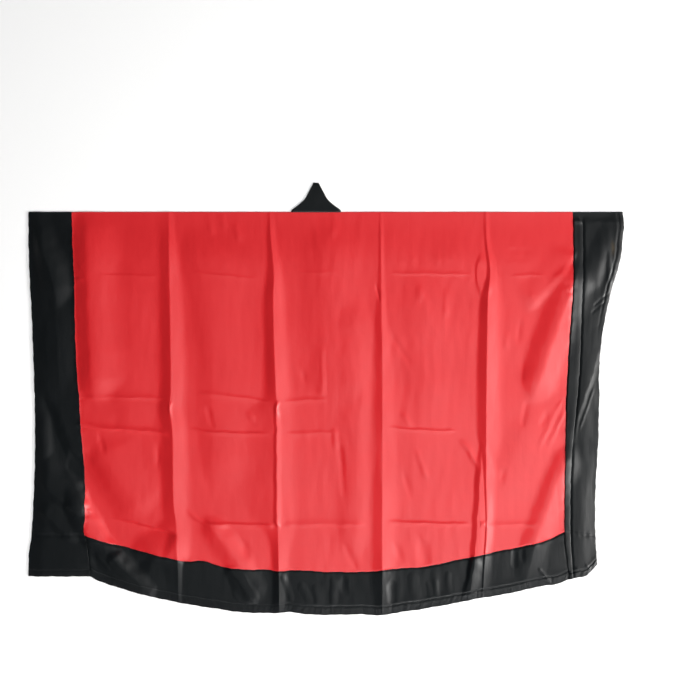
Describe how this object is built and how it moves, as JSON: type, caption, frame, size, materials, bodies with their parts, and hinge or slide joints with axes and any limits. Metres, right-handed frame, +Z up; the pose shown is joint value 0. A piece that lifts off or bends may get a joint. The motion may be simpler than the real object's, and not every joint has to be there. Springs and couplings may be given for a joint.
{
  "type": "taoist robe",
  "caption": "Wide open-fronted ceremonial robe of red satin with black cuff and hem bands and a black collar band, laid flat on its front with the back uppermost.",
  "frame": {"origin": "middle of the robe's outline seen from above, on the surface that the robe lies on", "axes": "+X across the robe to the wearer's right cuff, +Y from the hem to the collar, +Z up from the surface, out of the robe's back"},
  "size_m": [1.8982, 1.3804, 0.0157],
  "materials": {
    "red_satin": "satin woven cloth with a soft sheen, creased from packing",
    "black_satin": "satin woven cloth with a soft sheen, slightly cool black"
  },
  "bodies": {
    "root": {"back_panel": "red_satin", "back_hem_band": "black_satin", "back_cuff_band_left": "black_satin", "back_cuff_band_right": "black_satin", "front_panel_left": "red_satin", "front_panel_right": "red_satin", "front_hem_band_left": "black_satin", "front_hem_band_right": "black_satin", "front_cuff_band_left": "black_satin", "front_cuff_band_right": "black_satin", "collar_band": "black_satin"}
  },
  "joints": []
}
